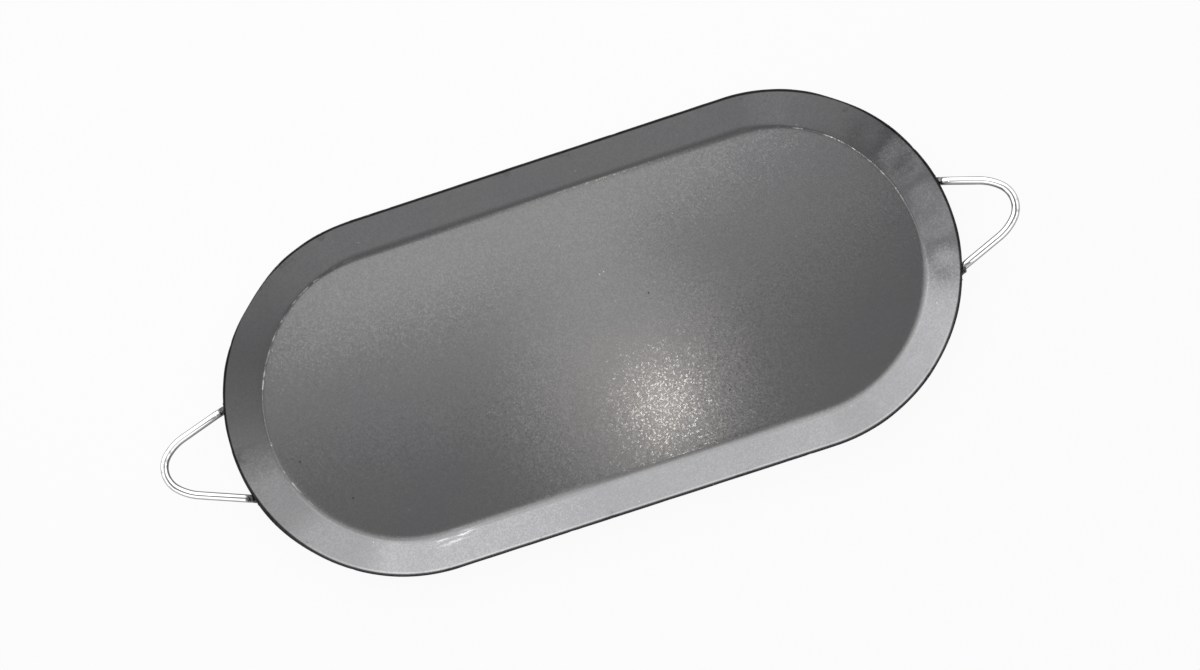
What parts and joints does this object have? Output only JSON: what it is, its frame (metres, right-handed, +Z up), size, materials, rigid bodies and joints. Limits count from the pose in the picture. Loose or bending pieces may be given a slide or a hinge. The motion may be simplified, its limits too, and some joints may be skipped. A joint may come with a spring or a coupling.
{
  "type": "camp griddle plate",
  "caption": "Oval pressed-steel griddle plate with a sloped wall, a plain cut rim and a welded loop of bright wire at each end as a handle.",
  "frame": {"origin": "middle of the pan's flat underside, half way between the two round ends", "axes": "+X along the pan towards the right handle, +Y across the pan towards its back side, +Z up, out of the cooking face"},
  "size_m": [0.6889, 0.281, 0.0344],
  "materials": {
    "carbon_steel": "satin bare carbon steel with fine lengthwise rolling grain",
    "plated_wire": "bright plated round wire",
    "weld_metal": "rough mottled weld metal with heat tint"
  },
  "bodies": {
    "root": {"pan": "carbon_steel", "left_handle": "plated_wire", "right_handle": "plated_wire", "weld_left_front_outer": "weld_metal", "weld_left_front_inner": "weld_metal", "weld_left_back_outer": "weld_metal", "weld_left_back_inner": "weld_metal", "weld_right_front_outer": "weld_metal", "weld_right_front_inner": "weld_metal", "weld_right_back_outer": "weld_metal", "weld_right_back_inner": "weld_metal"}
  },
  "joints": []
}
